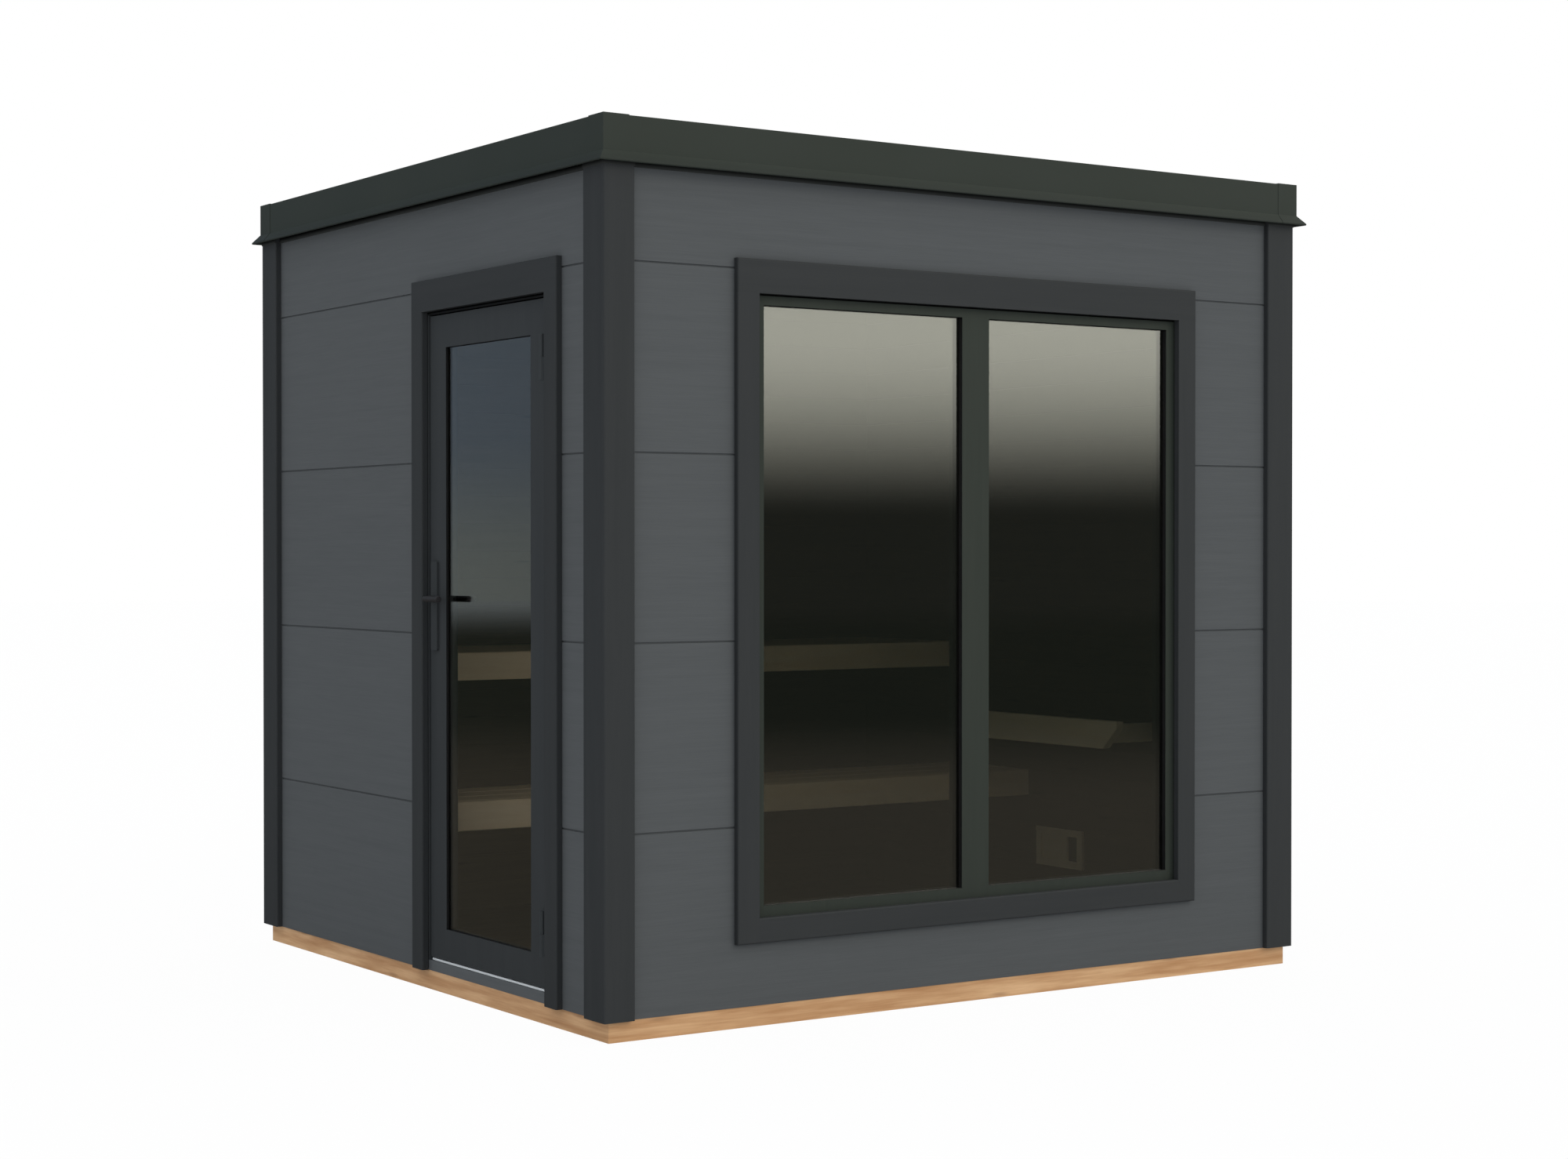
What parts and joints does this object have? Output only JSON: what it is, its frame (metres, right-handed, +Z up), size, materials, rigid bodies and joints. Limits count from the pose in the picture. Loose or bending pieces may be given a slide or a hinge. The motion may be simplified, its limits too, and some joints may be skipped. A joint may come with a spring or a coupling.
{
  "type": "garden sauna",
  "caption": "Small flat-roofed timber garden sauna on a beam base, with a glazed outward-opening side door, a tall tinted window and benches inside.",
  "frame": {"origin": "middle of the underside of the timber base", "axes": "+X along the window front to the right, +Y from the window front to the back, +Z up"},
  "size_m": [2.516, 2.299, 2.415],
  "materials": {
    "base_timber": "bare planed softwood",
    "floor_timber": "bare planed softwood boards",
    "panel_paint": "dark blue-grey stain over timber panels, matt",
    "trim_paint": "anthracite paint on planed boards, matt",
    "roof_timber": "bare boards",
    "roof_rubber": "black roofing membrane, matt",
    "edge_metal": "anthracite coated sheet, satin",
    "frame_paint": "anthracite paint on planed timber, satin",
    "window_glazing": "dark tinted sealed unit",
    "door_glazing": "dark tinted toughened pane",
    "strip_aluminium": "brushed",
    "hinge_coat": "anthracite coated steel, satin",
    "bench_timber": "bare planed pale hardwood",
    "handle_coat": "near-black coated steel, satin"
  },
  "bodies": {
    "building": {"base_frame": "base_timber", "floor_deck": "floor_timber", "front_wall": "panel_paint", "back_wall": "panel_paint", "right_wall": "panel_paint", "left_wall_front": "panel_paint", "left_wall_back": "panel_paint", "left_wall_over_door": "panel_paint", "door_threshold": "panel_paint", "corner_post_front_left": "trim_paint", "corner_post_front_right": "trim_paint", "corner_post_back_left": "trim_paint", "corner_post_back_right": "trim_paint", "window_trim_left": "trim_paint", "window_trim_right": "trim_paint", "window_trim_top": "trim_paint", "window_trim_bottom": "trim_paint", "door_trim_hinge_side": "trim_paint", "door_trim_latch_side": "trim_paint", "door_trim_top": "trim_paint", "roof_deck": "roof_timber", "roof_membrane": "roof_rubber", "fascia_front": "edge_metal", "fascia_back": "edge_metal", "fascia_left": "edge_metal", "fascia_right": "edge_metal", "fascia_corner_caps": "edge_metal", "window_frame": "frame_paint", "door_frame": "frame_paint", "window_glass_left": "window_glazing", "window_glass_right": "window_glazing", "threshold_strip": "strip_aluminium", "hinge_frame_halves": "hinge_coat", "upper_bench": "bench_timber", "lower_bench": "bench_timber", "heater_guard": "bench_timber", "air_vent": "bench_timber"},
    "door": {"door_leaf": "frame_paint", "door_glass": "door_glazing", "hinge_leaf_halves": "hinge_coat", "handle_plates": "handle_coat"},
    "lever": {"door_lever": "handle_coat"}
  },
  "joints": [
    {"name": "door_swing", "type": "hinge", "parent": "building", "child": "door", "pos_m": [-1.228, -0.7815, 1], "axis": [0, 0, 1], "range_deg": [0, 110]},
    {"name": "lever_turn", "type": "hinge", "parent": "door", "child": "lever", "pos_m": [-1.191, -0.1065, 1.143], "axis": [1, 0, 0], "range_deg": [0, 40], "stiffness_Nm_per_rad": 2, "springref_deg": -17.19}
  ]
}
